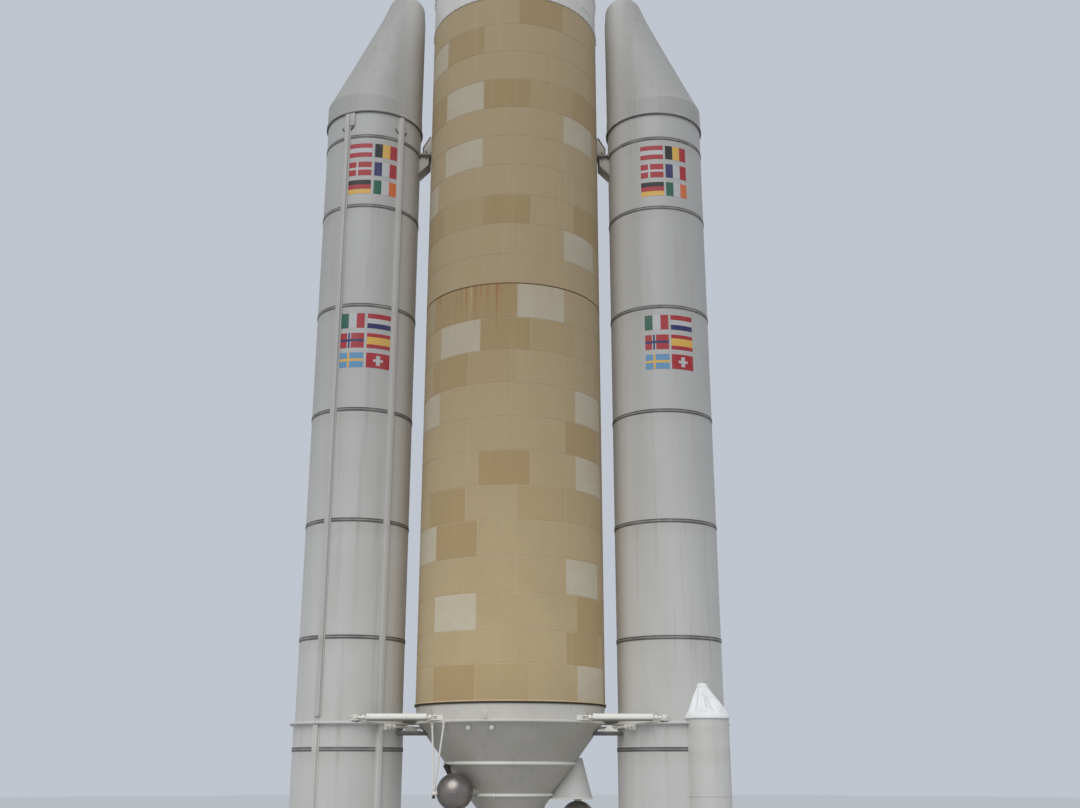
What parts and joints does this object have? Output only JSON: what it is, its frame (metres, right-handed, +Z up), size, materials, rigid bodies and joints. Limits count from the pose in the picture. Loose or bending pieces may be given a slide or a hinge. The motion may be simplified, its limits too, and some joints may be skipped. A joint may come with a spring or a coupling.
{
  "type": "half-scale display model of a space rocket with two side boosters",
  "caption": "Launcher with a tan insulated core stage, white side boosters, payload fairing, struts, thrust frame and engines on gimbals.",
  "frame": {"origin": "on the floor, midway between the two boosters and under the core stage's axis", "axes": "+Z up along the core stage, +X towards the right-hand booster as seen in the picture, -Y towards the camera"},
  "size_m": [6.53, 2.81, 26.5],
  "materials": {
    "foam_insulation": "sprayed foam tiles, tan, weathered",
    "white_paint": "satin white paint, weathered",
    "white_composite": "matt white painted laminate",
    "grey_paint": "grey-white paint, dusty",
    "sphere_metal": "dull brushed metal",
    "engine_metal": "heat-tinted bare metal",
    "bearing_rubber": "black laminated rubber"
  },
  "bodies": {
    "airframe": {"aft_ring": "white_paint", "aft_strut_front_left": "white_paint", "aft_strut_front_right": "white_paint", "aft_strut_rear_left": "white_paint", "aft_strut_rear_right": "white_paint", "booster_aft_segment_left": "white_paint", "booster_aft_segment_right": "white_paint", "booster_aft_skirt_left": "white_paint", "booster_aft_skirt_right": "white_paint", "booster_centre_segment_left": "white_paint", "booster_centre_segment_right": "white_paint", "booster_forward_segment_left": "white_paint", "booster_forward_segment_right": "white_paint", "booster_inner_duct_left": "white_paint", "booster_inner_duct_right": "white_paint", "booster_lower_casing_left": "white_paint", "booster_lower_casing_right": "white_paint", "booster_nose_left": "white_composite", "booster_nose_right": "white_composite", "booster_outer_duct_left": "white_paint", "booster_outer_duct_right": "white_paint", "booster_pod_left": "white_paint", "booster_pod_right": "white_paint", "core_tank_lower": "foam_insulation", "core_tank_upper": "foam_insulation", "diagonal_rod_left": "white_paint", "diagonal_rod_right": "white_paint", "engine_mount": "grey_paint", "equipment_bay": "white_composite", "fairing_half_back": "white_composite", "fairing_half_front": "white_composite", "front_fitting_booster_left": "grey_paint", "front_fitting_booster_right": "grey_paint", "front_fitting_core_left": "grey_paint", "front_fitting_core_right": "grey_paint", "helium_sphere_left": "sphere_metal", "helium_sphere_right": "sphere_metal", "payload_carrier": "white_composite", "sphere_arm_left": "grey_paint", "sphere_hanger_left": "white_paint", "sphere_hood_right": "white_paint", "thrust_cone_middle": "grey_paint", "thrust_cone_upper": "grey_paint"},
    "engine_cross": {"engine_gimbal_cross": "sphere_metal"},
    "engine": {"engine_bell": "engine_metal", "engine_chamber": "engine_metal", "hydrogen_exhaust_pipe": "sphere_metal", "hydrogen_turbopump": "engine_metal", "oxygen_exhaust_pipe": "sphere_metal", "oxygen_turbopump": "engine_metal"},
    "bearing_left": {"booster_bearing_left": "bearing_rubber"},
    "nozzle_left": {"booster_nozzle_left": "engine_metal"},
    "bearing_right": {"booster_bearing_right": "bearing_rubber"},
    "nozzle_right": {"booster_nozzle_right": "engine_metal"}
  },
  "joints": [
    {"name": "engine_pitch", "type": "hinge", "parent": "airframe", "child": "engine_cross", "pos_m": [0, 0, 1.875], "axis": [1, 0, 0], "range_deg": [-6, 6]},
    {"name": "engine_yaw", "type": "hinge", "parent": "engine_cross", "child": "engine", "pos_m": [0, 0, 1.875], "axis": [0, 1, 0], "range_deg": [-6, 6]},
    {"name": "nozzle_left_pitch", "type": "hinge", "parent": "airframe", "child": "bearing_left", "pos_m": [-2.34, 0, 1.5], "axis": [1, 0, 0], "range_deg": [-6, 6]},
    {"name": "nozzle_left_yaw", "type": "hinge", "parent": "bearing_left", "child": "nozzle_left", "pos_m": [-2.34, 0, 1.5], "axis": [0, 1, 0], "range_deg": [-6, 6]},
    {"name": "nozzle_right_pitch", "type": "hinge", "parent": "airframe", "child": "bearing_right", "pos_m": [2.34, 0, 1.5], "axis": [1, 0, 0], "range_deg": [-6, 6]},
    {"name": "nozzle_right_yaw", "type": "hinge", "parent": "bearing_right", "child": "nozzle_right", "pos_m": [2.34, 0, 1.5], "axis": [0, 1, 0], "range_deg": [-6, 6]}
  ]
}
